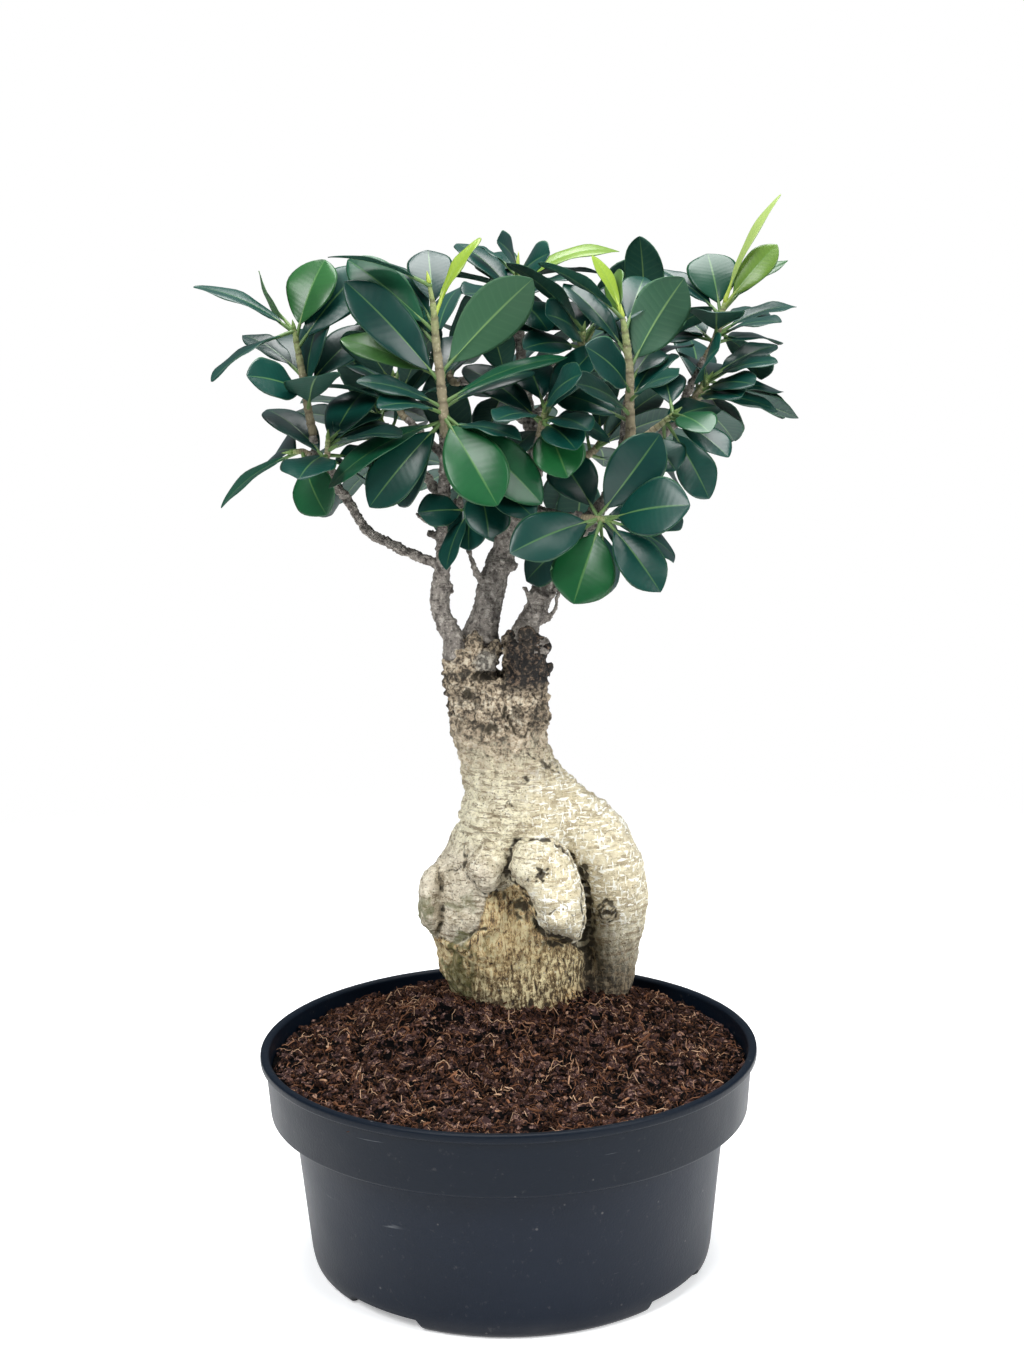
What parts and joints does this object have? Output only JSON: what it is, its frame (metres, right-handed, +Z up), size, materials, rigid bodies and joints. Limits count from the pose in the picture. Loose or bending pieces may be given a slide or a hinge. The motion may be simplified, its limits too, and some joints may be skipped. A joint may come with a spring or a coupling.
{
  "type": "potted ficus ginseng bonsai",
  "caption": "Grafted ficus bonsai with a swollen, bulging root and a flat-topped leafy crown, in a round nursery pot of peat.",
  "frame": {"origin": "middle of the pot's underside, on the surface that the pot stands on", "axes": "+Z up, -Y towards the front, +X to the right seen from the front"},
  "size_m": [0.2989, 0.2713, 0.5108],
  "materials": {
    "pot_plastic": "black injection-moulded plastic, semi-matt, with faint scuffs",
    "peat_soil": "dark brown moist peat with orange-brown fibres and chips",
    "root_bark": "cream to tan root bark, finely wrinkled across, speckled brown and mossy at the foot",
    "branch_bark": "grey-brown bark with rings and knots",
    "foliage": "thick glossy dark green leaves, paler and matt beneath, the young ones yellow-green"
  },
  "bodies": {
    "root": {"pot": "pot_plastic", "soil": "peat_soil", "rootstock": "root_bark", "branch_left": "branch_bark", "branch_middle": "branch_bark", "branch_right": "branch_bark", "shoot_left_tip": "foliage", "shoot_left_inner": "foliage", "shoot_left_low": "foliage", "shoot_front_left": "foliage", "shoot_front_low": "foliage", "shoot_crown_back": "foliage", "shoot_crown_middle": "foliage", "shoot_front_right": "foliage", "shoot_right_tip": "foliage", "shoot_right_low": "foliage", "shoot_right_inner": "foliage", "shoot_low_right": "foliage", "shoot_centre": "foliage", "shoot_inner_left": "foliage", "shoot_back_left": "foliage", "shoot_back_middle": "foliage", "shoot_back_low_left": "foliage", "shoot_back_low_right": "foliage", "shoot_back_top_right": "foliage", "shoot_back_top_left": "foliage", "shoot_back_right": "foliage", "shoot_back_far_right": "foliage"}
  },
  "joints": []
}
